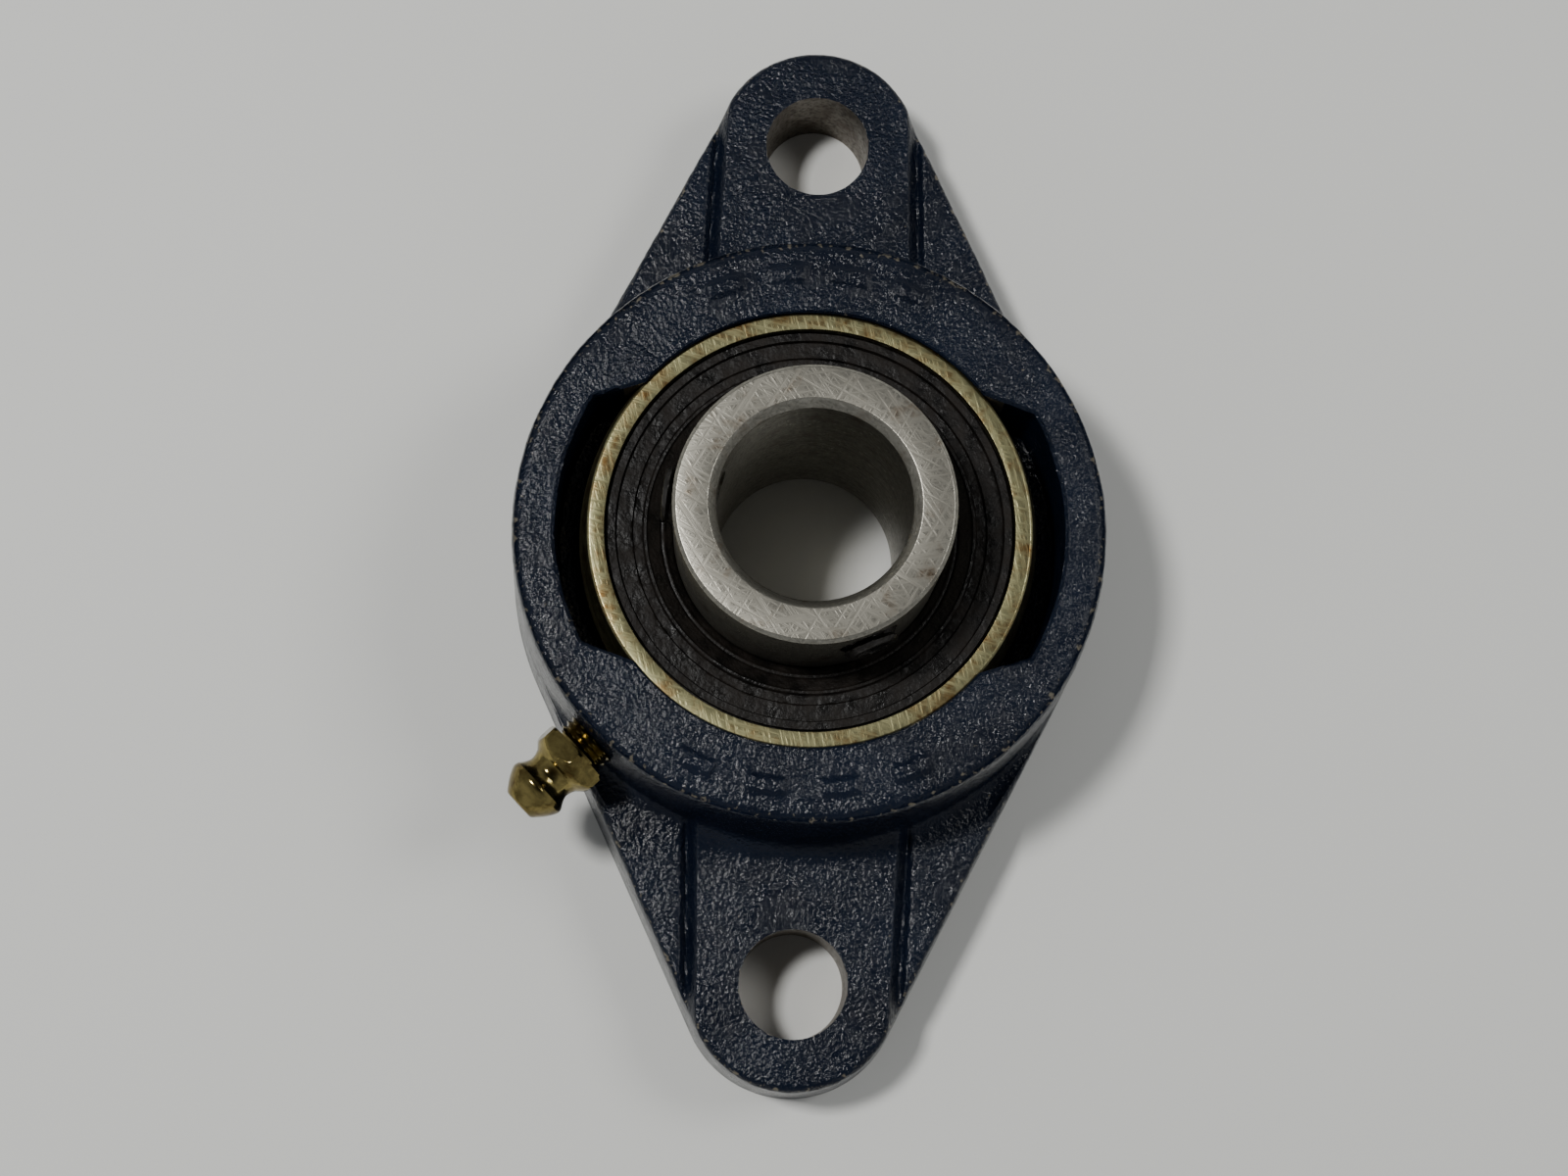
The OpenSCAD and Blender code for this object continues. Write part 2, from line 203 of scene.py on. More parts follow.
def casting_columns():
    """The casting's columns, as angles round the hub and matching points of the outline.

    The outline is the hub's arc, a straight line tangent to hub and lug, and the lug's arc.
    In the first quarter the columns fall into four groups: the hub's arc, the wing, a close
    group along the pad's side, and the pad. The other quarters mirror the first."""
    tangent = np.arcsin((HUB_R - LUG_R) / HOLE_Y)
    pad_side = np.arccos(LUG_R * np.cos(tangent) / (HUB_R - PAD_H * SLOPE))
    close_angles = np.array([-0.05, 0.03])
    close_runs = np.array([-1.3, 0.9])
    counts = [30, 88, 16, 28]
    straight = HOLE_Y * np.cos(tangent)
    hub_end = HUB_R * tangent
    lug_start = hub_end + straight
    lug_end = lug_start + LUG_R * (np.pi / 2 - tangent)
    keys = [0, tangent, *(pad_side + close_angles), np.pi / 2]
    stops = [0, hub_end, *(lug_start + close_runs), lug_end]

    def stepped(marks):
        """Each group's count of even steps between its two marks, and the last mark."""
        groups = [np.linspace(a, b, n, endpoint=False) for a, b, n in zip(marks, marks[1:], counts)]
        return np.append(np.concatenate(groups), marks[-1])

    def mirrored(quarter):
        """The quarter with x turned round, and then that half with y turned round."""
        half = np.concatenate([quarter, quarter[-2::-1] * [-1, 1]])
        return np.concatenate([half, half[-2:0:-1] * [1, -1]])

    angle = stepped(keys)
    run = stepped(stops)
    on_lug = run > lug_start
    turn = np.where(run < hub_end, run / HUB_R, tangent)
    turn = np.where(on_lug, tangent + (run - hub_end - straight) / LUG_R, turn)
    normal = np.stack([np.cos(turn), np.sin(turn)], -1)
    hub_turn = np.minimum(turn, tangent)
    ahead = np.clip(run - hub_end, 0, straight)
    point = HUB_R * np.stack([np.cos(hub_turn), np.sin(hub_turn)], -1)
    point = point + ahead[:, None] * np.array([-np.sin(tangent), np.cos(tangent)])
    point = np.where(on_lug[:, None], LUG_R * normal + [0, HOLE_Y], point)
    half = np.concatenate([angle, np.pi - angle[-2::-1]])
    angles = np.concatenate([half, -half[-2:0:-1]])
    return angles, mirrored(point), mirrored(normal)


def flange_height(x, y):
    """Height of the flange's top: the wings' level, a step up to the pad across its side,
    and a narrow groove along the foot of that step, which fades out at the lug's end."""
    reach = np.abs(y)
    side = LUG_R * PAD_SHARE - PAD_TAPER * smooth(reach, 28, 50)
    off = np.abs(x) - side
    step = 1 - smooth(off, -0.75, 0.15)
    groove = GROOVE_DEPTH * np.exp(-(((off - GROOVE_PLACE) / GROOVE_WIDTH) ** 2))
    groove = groove * (1 - smooth(reach, 45, 49.5)) * smooth(reach, 20, 24)
    return WING_H + (PAD_H - WING_H) * step - groove


def slot_radius(angle):
    """Distance from the shaft's axis to a loading slot's wall: the radius of its coaxial
    outer wall, or the side wall's distance over the cosine of the angle from its normal."""
    outer_wall = np.radians(26)
    past_slot = np.radians(45)
    folded = np.abs(np.arctan2(np.sin(angle), np.abs(np.cos(angle))))
    side = SLOT_SIDE / np.maximum(np.cos(folded - SLOT_FLARE), 0.05)
    side = np.where(folded < outer_wall, SLOT_R, side)
    return np.where(folded > past_slot, 0, np.minimum(SLOT_R, side))


def casting_rows():
    """The whole section of the casting at every column, from the seat's front edge over
    the hub, down its wall, along the flange, round the mounting face and up the seat."""
    angle, outline, normal = casting_columns()
    radial = np.stack([np.cos(angle), np.sin(angle)], -1)
    slot = slot_radius(angle)
    rows = []
    wear = []

    def add(flat, z, worn=0.0):
        """One more row: its level points, their height and how worn they are."""
        z = np.broadcast_to(z, angle.shape)
        rows.append(np.concatenate([flat, z[:, None]], -1))
        wear.append(np.broadcast_to(worn, angle.shape))

    def seat(z):
        """Radius of the spherical seat at a height, and never under the open back's."""
        return np.sqrt(np.maximum(SEAT_R**2 - (z - SEAT_Z) ** 2, BACK_R**2))

    rim_r = HUB_R - HUB_H * SLOPE
    lip = np.maximum(seat(HUB_H), slot)
    start = lip + SEAT_EDGE
    for t in np.linspace(0, 1, 24):
        radius = start + (rim_r - RIM_ROUND - start) * t
        add(radial * radius[:, None], HUB_H, 0.35 * (t == 0))
    for turn in np.linspace(0, np.pi / 2, 9)[1:]:
        radius = rim_r - RIM_ROUND * (1 - np.sin(turn))
        add(radial * radius, HUB_H - RIM_ROUND * (1 - np.cos(turn)), np.sin(2 * turn))

    # Foot of the hub's wall, ledge of the flange and its rounded edge. Where the ledge
    # narrows to nothing, its points spread down the wall, so that no quad shrinks away.
    foot = radial * (HUB_R - PAD_H * SLOPE)
    edge = outline - normal * (PAD_H * SLOPE)
    span = edge - foot
    width = np.maximum(np.einsum("ij,ij->i", span, normal), 0)
    on_pad = smooth(-np.abs(foot[:, 0]), -LUG_R - 1, -LUG_R + 1)
    fillet = WING_FILLET + PAD_EXTRA_FILLET * on_pad
    share = np.minimum(1, width / (fillet + EDGE_ROUND))
    run_in = fillet * share
    run_out = EDGE_ROUND * share
    flat_run = np.maximum(width - run_in - run_out, 0)
    narrow = 1 - smooth(width, 0.2, 2.4)
    spread = 1.8 * narrow
    safe = np.maximum(width, 1e-6)

    def ledge_point(across, z_from, worn=0.0):
        """A row at that distance from the hub's foot, so far above or below the flange's
        top. Where the ledge is narrow, the row leans out as the casting's wall does."""
        flat = foot + span * (across / safe)[:, None]
        level = flange_height(flat[:, 0], flat[:, 1])
        z = level + z_from
        lean = (PAD_H - z) * SLOPE
        add(flat + normal * (lean * narrow)[:, None], z, worn)

    level = flange_height(foot[:, 0], foot[:, 1])
    top = level + fillet + spread / 2
    for t in np.linspace(0, 1, 15)[1:-1]:
        z = (HUB_H - RIM_ROUND) * (1 - t) + top * t
        add(radial * (HUB_R - z * SLOPE)[:, None], z)
    for turn in np.linspace(0, np.pi / 2, 9):
        ledge_point(run_in * (1 - np.cos(turn)), spread / 2 + fillet * (1 - np.sin(turn)))
    for t in np.linspace(0, 1, 43)[1:-1]:
        ledge_point(run_in + flat_run * t, spread * (0.5 - t))
    for turn in np.linspace(0, np.pi / 2, 8):
        across = width - run_out * (1 - np.sin(turn))
        worn = np.sin(2 * turn) * smooth(width, 0.3, 1.5)
        ledge_point(across, -spread / 2 - EDGE_ROUND * (1 - np.cos(turn)), worn)

    bottom = rows[-1][:, 2]
    for t in np.linspace(0, 1, 11)[1:]:
        z = bottom * (1 - t)
        add(outline - normal * (z * SLOPE)[:, None], z, 0.6 * (t == 1))
    back = radial * (BACK_R + BACK_CHAMFER)
    for t in np.linspace(0, 1, 6)[1:]:
        add(outline * (1 - t) + back * t, 0.0)
    for z in (BACK_CHAMFER, 2.5, 4.5):
        add(radial * BACK_R, z)
    for z in np.linspace(6.3, SLOT_FLOOR - 0.4, 6):
        add(radial * seat(z), z)
    inner = seat(SLOT_FLOOR)
    for t in (0.25, 0.75):
        radius = inner + (np.maximum(inner, slot) - inner) * t
        add(radial * radius[:, None], SLOT_FLOOR - 0.2 + 0.4 * t)
    for z in np.linspace(SLOT_FLOOR + 0.3, HUB_H - 0.65, 10):
        add(radial * np.maximum(seat(z), slot)[:, None], z)
    return np.stack(rows, 1), np.stack(wear, 1)


points, wear = casting_rows()
radius = np.hypot(points[..., 0], points[..., 1])
height = points[..., 2]
on_seat = (radius < SEAT_R + 0.3) & (height < HUB_H - 0.1)

# The sand leaves a rough skin everywhere but on the seat and the back. It is sunk a little,
# so that its grain lies mostly under the casting's true size.
rough = 1.0 - ((height < 0.05) | on_seat)
grain = 0.03 * lumps(points, 1.1, 3) + 0.04 * lumps(points, 0.62, 5) + 0.05 * lumps(points, 4.5, 7)
SUNK = 0.06
MIDDLE = [0, 0, 8]
outward = grid_normals(points)
if np.einsum("ijk,ijk->ij", outward, points - MIDDLE)[:, 20:60].mean() < 0:
    outward = -outward
points = points + outward * (rough * (grain - SUNK))[..., None]

# Raised dashes, a plain foundry mark, stand on the hub's face on the two bolt sides. The
# rest of the face is lowered by their height, so the dashes are its highest points.
DASH_H = 0.35
DASH_MIDDLE = 26.4
on_face = height > HUB_H - 0.5
bearing = np.arctan2(points[..., 1], points[..., 0])
raised = np.zeros(height.shape)
for dash in (69, 83, 97, 111, -114, -98, -82, -66):
    across = np.abs(radius * (bearing - np.radians(dash)))
    along = np.abs(radius - DASH_MIDDLE)
    shape = (1 - smooth(across, 1.7, 2.2)) * (1 - smooth(along, 0.55, 1.05))
    raised = np.maximum(raised, shape)
points[..., 2] += DASH_H * on_face * (raised - 1)
points[..., 2] = np.clip(points[..., 2], 0, HUB_H)

casting = skin("casting", points, wear=wear)
nipple_axis = -np.array(joints["nipple_ball_travel"]["axis"])
nipple_origin = np.array([0, 0, sum(box_mm("nipple_ball"))[2] / 2])
cut(
    casting,
    [
        rod(HOLE_R, (0, HOLE_Y, -1), (0, HOLE_Y, HUB_H)),
        rod(HOLE_R, (0, -HOLE_Y, -1), (0, -HOLE_Y, HUB_H)),
        rod(TAPPED_R, nipple_origin + nipple_axis * 25.8, nipple_origin + nipple_axis * 40, 48),
        rod(DUCT_R, nipple_origin + nipple_axis * 22, nipple_origin + nipple_axis * 27, 32),
    ],
)
crease(casting, 42)


def enamel():
    """Navy enamel over sand-cast iron: the sand's grain shows through as fine bumps, the
    film is glossy and a little dusty, and it is rubbed thin on the edges."""
    material = bpy.data.materials.new("navy_enamel")
    material.use_nodes = True
    nodes = material.node_tree.nodes
    links = material.node_tree.links
    nodes.clear()

    place = nodes.new("ShaderNodeTexCoord")
    place.label = "Place on the casting"
    place.location = (-1500, 0)

    colour_frame = nodes.new("NodeFrame")
    colour_frame.label = "Colour of the film"
    clouds = nodes.new("ShaderNodeTexNoise")
    clouds.label = "Thick and thin enamel"
    clouds.location = (-1200, 400)
    clouds.parent = colour_frame
    clouds.inputs["Scale"].default_value = 140
    clouds.inputs["Detail"].default_value = 5
    film = nodes.new("ShaderNodeValToRGB")
    film.label = "Navy film"
    film.location = (-950, 400)
    film.parent = colour_frame
    film.color_ramp.elements[0].position = 0.3
    film.color_ramp.elements[0].color = (0.002, 0.0037, 0.009, 1)
    film.color_ramp.elements[1].position = 0.75
    film.color_ramp.elements[1].color = (0.0044, 0.008, 0.018, 1)

    worn_frame = nodes.new("NodeFrame")
    worn_frame.label = "Rubbed edges and chips"
    edge = nodes.new("ShaderNodeAttribute")
    edge.label = "Where hands rub"
    edge.location = (-1200, 100)
    edge.parent = worn_frame
    edge.attribute_name = "wear"
    flecks = nodes.new("ShaderNodeTexNoise")
    flecks.label = "Small chips"
    flecks.location = (-1200, -80)
    flecks.parent = worn_frame
    flecks.inputs["Scale"].default_value = 1500
    flecks.inputs["Detail"].default_value = 3
    rub = nodes.new("ShaderNodeMath")
    rub.label = "Chips gather on edges"
    rub.location = (-950, 60)
    rub.parent = worn_frame
    rub.operation = "MULTIPLY_ADD"
    rub.inputs[1].default_value = 0.16
    chip = nodes.new("ShaderNodeMapRange")
    chip.label = "Chipped or not"
    chip.location = (-720, 60)
    chip.parent = worn_frame
    chip.inputs["From Min"].default_value = 0.73
    chip.inputs["From Max"].default_value = 0.8
    bare = nodes.new("ShaderNodeMix")
    bare.label = "Iron in the chips"
    bare.location = (-480, 300)
    bare.parent = worn_frame
    bare.data_type = "RGBA"
    bare.inputs["B"].default_value = (0.1, 0.09, 0.07, 1)

    gloss_frame = nodes.new("NodeFrame")
    gloss_frame.label = "Gloss"
    dull = nodes.new("ShaderNodeTexNoise")
    dull.label = "Dull and shiny spots"
    dull.location = (-1200, -320)
    dull.parent = gloss_frame
    dull.inputs["Scale"].default_value = 600
    dull.inputs["Detail"].default_value = 4
    gloss = nodes.new("ShaderNodeMapRange")
    gloss.label = "Roughness of the film"
    gloss.location = (-950, -320)
    gloss.parent = gloss_frame
    gloss.inputs["From Min"].default_value = 0.3
    gloss.inputs["From Max"].default_value = 0.7
    gloss.inputs["To Min"].default_value = 0.08
    gloss.inputs["To Max"].default_value = 0.22

    grain_frame = nodes.new("NodeFrame")
    grain_frame.label = "Sand grain under the film"
    coarse = nodes.new("ShaderNodeTexNoise")
    coarse.label = "Sand grains"
    coarse.location = (-1200, -640)
    coarse.parent = grain_frame
    coarse.inputs["Scale"].default_value = 2500
    coarse.inputs["Detail"].default_value = 3
    coarse.inputs["Roughness"].default_value = 0.55
    fine = nodes.new("ShaderNodeTexVoronoi")
    fine.label = "Pits between grains"
    fine.location = (-1200, -900)
    fine.parent = grain_frame
    fine.inputs["Scale"].default_value = 2100
    relief = nodes.new("ShaderNodeMath")
    relief.label = "Grains and pits together"
    relief.location = (-950, -760)
    relief.parent = grain_frame
    relief.operation = "MULTIPLY_ADD"
    relief.inputs[1].default_value = 0.45
    bump = nodes.new("ShaderNodeBump")
    bump.label = "Raise the grain"
    bump.location = (-600, -700)
    bump.parent = grain_frame
    bump.inputs["Strength"].default_value = 0.9
    bump.inputs["Distance"].default_value = 0.00016

    shader = nodes.new("ShaderNodeBsdfPrincipled")
    shader.label = "Enamelled iron"
    shader.location = (-150, 0)
    shader.inputs["Specular IOR Level"].default_value = 0.24
    out = nodes.new("ShaderNodeOutputMaterial")
    out.label = "Casting's skin"
    out.location = (180, 0)

    links.new(place.outputs["Object"], clouds.inputs["Vector"])
    links.new(place.outputs["Object"], flecks.inputs["Vector"])
    links.new(place.outputs["Object"], dull.inputs["Vector"])
    links.new(place.outputs["Object"], coarse.inputs["Vector"])
    links.new(place.outputs["Object"], fine.inputs["Vector"])
    links.new(clouds.outputs["Fac"], film.inputs["Fac"])
    links.new(edge.outputs["Fac"], rub.inputs[0])
    links.new(flecks.outputs["Fac"], rub.inputs[2])
    links.new(rub.outputs["Value"], chip.inputs["Value"])
    links.new(chip.outputs["Result"], bare.inputs["Factor"])
    links.new(film.outputs["Color"], bare.inputs["A"])
    links.new(bare.outputs["Result"], shader.inputs["Base Color"])
    links.new(dull.outputs["Fac"], gloss.inputs["Value"])
    links.new(gloss.outputs["Result"], shader.inputs["Roughness"])
    links.new(fine.outputs["Distance"], relief.inputs[0])
    links.new(coarse.outputs["Fac"], relief.inputs[2])
    links.new(relief.outputs["Value"], bump.inputs["Height"])
    links.new(bump.outputs["Normal"], shader.inputs["Normal"])
    links.new(shader.outputs["BSDF"], out.inputs["Surface"])
    return material


def metal(name, tone, stain, roughness, stained=0.35, patch=260, marks=((0, 0.05),), scale=2200,
          depth=0.00002):
    """Worked metal: a base tone with a darker stain over that share of it, in patches, and
    sets of fine marks, which darken it a little, dull it and catch the light. Each set is a
    noise turned by its angle in degrees and stretched along one axis by its factor."""
    material = bpy.data.materials.new(name)
    material.use_nodes = True
    nodes = material.node_tree.nodes
    links = material.node_tree.links
    nodes.clear()

    place = nodes.new("ShaderNodeTexCoord")
    place.label = "Place on the piece"
    place.location = (-1500, 0)

    stain_frame = nodes.new("NodeFrame")
    stain_frame.label = "Tone and stain"
    patches = nodes.new("ShaderNodeTexNoise")
    patches.label = "Stained patches"
    patches.location = (-1000, 400)
    patches.parent = stain_frame
    patches.inputs["Scale"].default_value = patch
    patches.inputs["Detail"].default_value = 7
    patches.inputs["Roughness"].default_value = 0.65
    amount = nodes.new("ShaderNodeMapRange")
    amount.label = "How much stain"
    amount.location = (-780, 400)
    amount.parent = stain_frame
    amount.inputs["From Min"].default_value = 0.62 - 0.35 * stained
    amount.inputs["From Max"].default_value = 0.78 - 0.25 * stained
    blend = nodes.new("ShaderNodeMix")
    blend.label = "Clean to stained"
    blend.location = (-560, 400)
    blend.parent = stain_frame
    blend.data_type = "RGBA"
    blend.inputs["A"].default_value = (*tone, 1)
    blend.inputs["B"].default_value = (*stain, 1)

    mark_frame = nodes.new("NodeFrame")
    mark_frame.label = "Tool marks and scratches"
    total = None
    for step, (angle, stretch) in enumerate(marks):
        aim = nodes.new("ShaderNodeMapping")
        aim.label = "Along the marks"
        aim.location = (-1280, -200 - 400 * step)
        aim.parent = mark_frame
        aim.vector_type = "TEXTURE"
        aim.inputs["Rotation"].default_value = (0, 0, np.radians(angle))
        aim.inputs["Scale"].default_value = (1, 1 / stretch, 1)
        fine = nodes.new("ShaderNodeTexNoise")
        fine.label = "Fine marks"
        fine.location = (-1060, -200 - 400 * step)
        fine.parent = mark_frame
        fine.inputs["Scale"].default_value = scale
        fine.inputs["Detail"].default_value = 3
        links.new(place.outputs["Object"], aim.inputs["Vector"])
        links.new(aim.outputs["Vector"], fine.inputs["Vector"])
        if total is None:
            total = fine.outputs["Fac"]
        else:
            both = nodes.new("ShaderNodeMath")
            both.label = "Cross the marks"
            both.location = (-860, -200 - 400 * step)
            both.parent = mark_frame
            both.operation = "MAXIMUM"
            links.new(total, both.inputs[0])
            links.new(fine.outputs["Fac"], both.inputs[1])
            total = both.outputs["Value"]
    line = nodes.new("ShaderNodeMapRange")
    line.label = "Keep the deep marks"
    line.location = (-680, -200)
    line.parent = mark_frame
    line.inputs["From Min"].default_value = 0.45
    line.inputs["From Max"].default_value = 0.75
    sheen = nodes.new("ShaderNodeMapRange")
    sheen.label = "Marks dull the metal"
    sheen.location = (-480, -60)
    sheen.parent = mark_frame
    sheen.inputs["To Min"].default_value = roughness * 0.8
    sheen.inputs["To Max"].default_value = roughness * 1.4
    darken = nodes.new("ShaderNodeMix")
    darken.label = "Marks hold dirt"
    darken.location = (-330, 300)
    darken.parent = mark_frame
    darken.data_type = "RGBA"
    darken.inputs["B"].default_value = (*(0.45 * part for part in tone), 1)
    bump = nodes.new("ShaderNodeBump")
    bump.label = "Depth of the marks"
    bump.location = (-480, -340)
    bump.parent = mark_frame
    bump.invert = True
    bump.inputs["Strength"].default_value = 0.7
    bump.inputs["Distance"].default_value = depth

    shader = nodes.new("ShaderNodeBsdfPrincipled")
    shader.label = "Metal"
    shader.location = (-120, 0)
    shader.inputs["Metallic"].default_value = 1.0
    out = nodes.new("ShaderNodeOutputMaterial")
    out.label = "Worked surface"
    out.location = (180, 0)

    links.new(place.outputs["Object"], patches.inputs["Vector"])
    links.new(patches.outputs["Fac"], amount.inputs["Value"])
    links.new(amount.outputs["Result"], blend.inputs["Factor"])
    links.new(total, line.inputs["Value"])
    links.new(line.outputs["Result"], sheen.inputs["Value"])
    links.new(line.outputs["Result"], darken.inputs["Factor"])
    links.new(line.outputs["Result"], bump.inputs["Height"])
    links.new(blend.outputs["Result"], darken.inputs["A"])
    links.new(darken.outputs["Result"], shader.inputs["Base Color"])
    links.new(sheen.outputs["Result"], shader.inputs["Roughness"])
    links.new(bump.outputs["Normal"], shader.inputs["Normal"])
    links.new(shader.outputs["BSDF"], out.inputs["Surface"])
    return material


casting.data.materials.clear()
casting.data.materials.append(enamel())
bare_iron = metal("machined_iron", (0.22, 0.2, 0.17), (0.08, 0.055, 0.035), 0.5, 0.6, 300, ((0, 1),))
casting.data.materials.append(bare_iron)

centre = np.empty(len(casting.data.polygons) * 3)
casting.data.polygons.foreach_get("center", centre)
centre = centre.reshape(-1, 3) / MM
from_hole = np.hypot(centre[:, 0], np.abs(centre[:, 1]) - HOLE_Y)
from_axis = np.hypot(centre[:, 0], centre[:, 1])
in_hole = from_hole < HOLE_R + 0.02
in_seat = (from_axis < SEAT_R + 0.05) & (centre[:, 2] < HUB_H - 0.9)
is_bare = in_hole | in_seat | (centre[:, 2] < 0.03)
casting.data.polygons.foreach_set("material_index", is_bare.astype(np.int32))
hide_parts("housing")
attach(casting, "housing")


# ------------------------------------------------------------ grease nipple
# The nipple is turned from hexagonal steel bar, zinc plated and yellow passivated. It is
# screwed into the hub's wall, and two or three turns of its thread stay in sight.

NIPPLE_SIDES = 144
NIPPLE_FOOT = 26.0
NIPPLE_PITCH = 0.65
THREAD_R = 3.0
THREAD_DEPTH = 0.42
THREAD_CURVE = 0.85
HEX_IN = 32.1
HEX_OUT = 34.9
HEX_FLATS = 7.0
HEX_TURN = np.radians(13)
WAIST = 35.9
WAIST_R = 2.55
CONE = 38.0
CONE_R = 3.16
NIPPLE_TIP = 40.0
MOUTH_R = 0.84
SPRING_BORE_R = 1.3
SHELF_R = 0.75


def laid_out(radius, reach, origin, axis):
    """Points of a piece turned about a level axis: radius[i, j] round the axis at the
    distance reach[j] along it, in a frame whose first side looks up."""
    up = np.array([0, 0, 1.0])
    side = np.cross(up, axis)
    turn = np.linspace(0, 2 * np.pi, radius.shape[0], endpoint=False)[:, None, None]
    spoke = np.cos(turn) * up + np.sin(turn) * side
    return origin + axis * reach[None, :, None] + spoke * radius[..., None]


def hexagon(turn, across_flats):
    """Distance from a hexagon's centre to its side: half the flats over the cosine of the
    angle from the nearest flat's middle. A corner lies at turn 0."""
    folded = np.mod(turn, np.pi / 3) - np.pi / 6
    return across_flats / 2 / np.cos(folded)


# Section of the nipple, as distances from the shaft's axis and radii: thread, hexagon with
# its turned bevels, waist, head and cone out to the tip, and then back down the bore.
thread = np.arange(NIPPLE_FOOT, HEX_IN - 0.3, 0.065)
outside = [(z, THREAD_R) for z in thread]
outside += [(HEX_IN - 0.26, 2.5), (HEX_IN - 0.02, 2.5), (HEX_IN, 2.9), (HEX_IN + 0.02, 3.75)]
outside += [(HEX_IN + 0.3, 4.02), (HEX_IN + 0.7, 4.06), (HEX_IN + 1.2, 4.06), (HEX_IN + 1.5, 3.98)]
outside += [(z, 3.98 - 1.15 * ((z - 33.6) / 1.3) ** 1.2) for z in np.linspace(33.7, HEX_OUT, 9)]
outside += [(z, WAIST_R + 0.28 * (WAIST - z) ** 2) for z in np.linspace(35.0, WAIST, 6)]
outside += [(z, WAIST_R + 0.73 * ((z - WAIST) / 1.3) ** 1.6) for z in np.linspace(36.05, 37.15, 8)]
outside += [(37.3, 3.25), (37.45, 3.28), (37.6, 3.28), (37.8, 3.24), (CONE, CONE_R)]
outside += [(z, CONE_R - 1.2 * ((z - CONE) / 1.75) ** 1.15) for z in np.linspace(38.15, 39.7, 11)]
outside += [(39.85, 1.86), (39.96, 1.7), (NIPPLE_TIP, 1.5)]
inside = [(NIPPLE_TIP, 1.1), (39.97, 0.88), (39.85, MOUTH_R), (38.75, SPRING_BORE_R)]
inside += [(36.0, SPRING_BORE_R), (32.0, SPRING_BORE_R), (29.45, SPRING_BORE_R), (29.43, SHELF_R)]
inside += [(NIPPLE_FOOT, SHELF_R), (25.99, 1.5), (25.99, 2.4)]
section = np.array(outside + inside)

# The thread's ridge climbs one pitch a turn and fades out at the foot, and the hexagon is
# the smaller of the turned radius and its six flats.
turn = np.linspace(0, 2 * np.pi, NIPPLE_SIDES, endpoint=False)[:, None]
reach = section[:, 0]
radius = np.repeat(section[None, :, 1], NIPPLE_SIDES, 0)
phase = np.mod((reach[None] - NIPPLE_FOOT) / NIPPLE_PITCH - turn / (2 * np.pi), 1)
row = np.arange(len(section))
fade = smooth(reach, NIPPLE_FOOT, NIPPLE_FOOT + 0.8)[None]
ridge = THREAD_DEPTH * np.abs(2 * phase - 1) ** THREAD_CURVE
radius = np.where(row < len(thread), THREAD_R - ridge * fade - 0.45 * (1 - fade), radius)
in_hex = (row >= len(thread) + 2) & (reach <= HEX_OUT) & (section[:, 1] > 2.6)
radius = np.where(in_hex, np.minimum(radius, hexagon(turn - HEX_TURN, HEX_FLATS)), radius)
marks = 0.015 * np.sin(reach * 37) * ((section[:, 1] > 1.6) & (reach > HEX_OUT))
points = laid_out(radius + marks, reach, nipple_origin, nipple_axis)
nipple = skin("nipple", points)
crease(nipple, 32)
passivated = metal(
    "yellow_passivated", (0.31, 0.25, 0.09), (0.085, 0.058, 0.018), 0.15, 0.65, 420, ((45, 0.3),), 1600
)
nipple.data.materials.append(passivated)
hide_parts("nipple_body")
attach(nipple, "housing")


# ------------------------------------------------------------- outer ring
# The insert's outer ring is hardened steel, ground to a sphere outside so that it can
# tilt in its seat. A film of preservative has stained its face a dull yellow.

RING_SIDES = 288
RACE_POINTS = 24


def arc(centre, radius, start, end, count):
    """Points of an arc in the section's plane, between two angles in degrees: the centre
    plus the radius times the cosine and the sine."""
    angle = np.radians(np.linspace(start, end, count))
    return [(centre[0] + radius * np.cos(a), centre[1] + radius * np.sin(a)) for a in angle]


def eased(outline, ease):
    """A closed outline with softened corners: each corner becomes a parabola between the
    points that lie ease before and after it, or a third of the way on a short side."""
    outline = np.array(outline, float)
    before = np.roll(outline, 1, 0) - outline
    after = np.roll(outline, -1, 0) - outline
    reach_before = np.linalg.norm(before, axis=1, keepdims=True)
    reach_after = np.linalg.norm(after, axis=1, keepdims=True)
    first = outline + before * np.minimum(ease / reach_before, 0.33)
    last = outline + after * np.minimum(ease / reach_after, 0.33)
    steps = [first * (1 - t) ** 2 + outline * 2 * t * (1 - t) + last * t**2 for t in (0, 0.33, 0.67, 1)]
    return np.stack(steps, 1).reshape(-1, 2)


def turned(outline, sides=RING_SIDES):
    """A grid of points for a turned piece: each (radius, height) of the outline is carried
    round the shaft's axis, and heights count from the insert's centre."""
    turn = np.linspace(0, 2 * np.pi, sides, endpoint=False)[:, None]
    radius = outline[:, 0][None]
    height = np.broadcast_to(outline[:, 1][None] + SEAT_Z, (sides, len(outline)))
    return np.stack([radius * np.cos(turn), radius * np.sin(turn), height], -1)


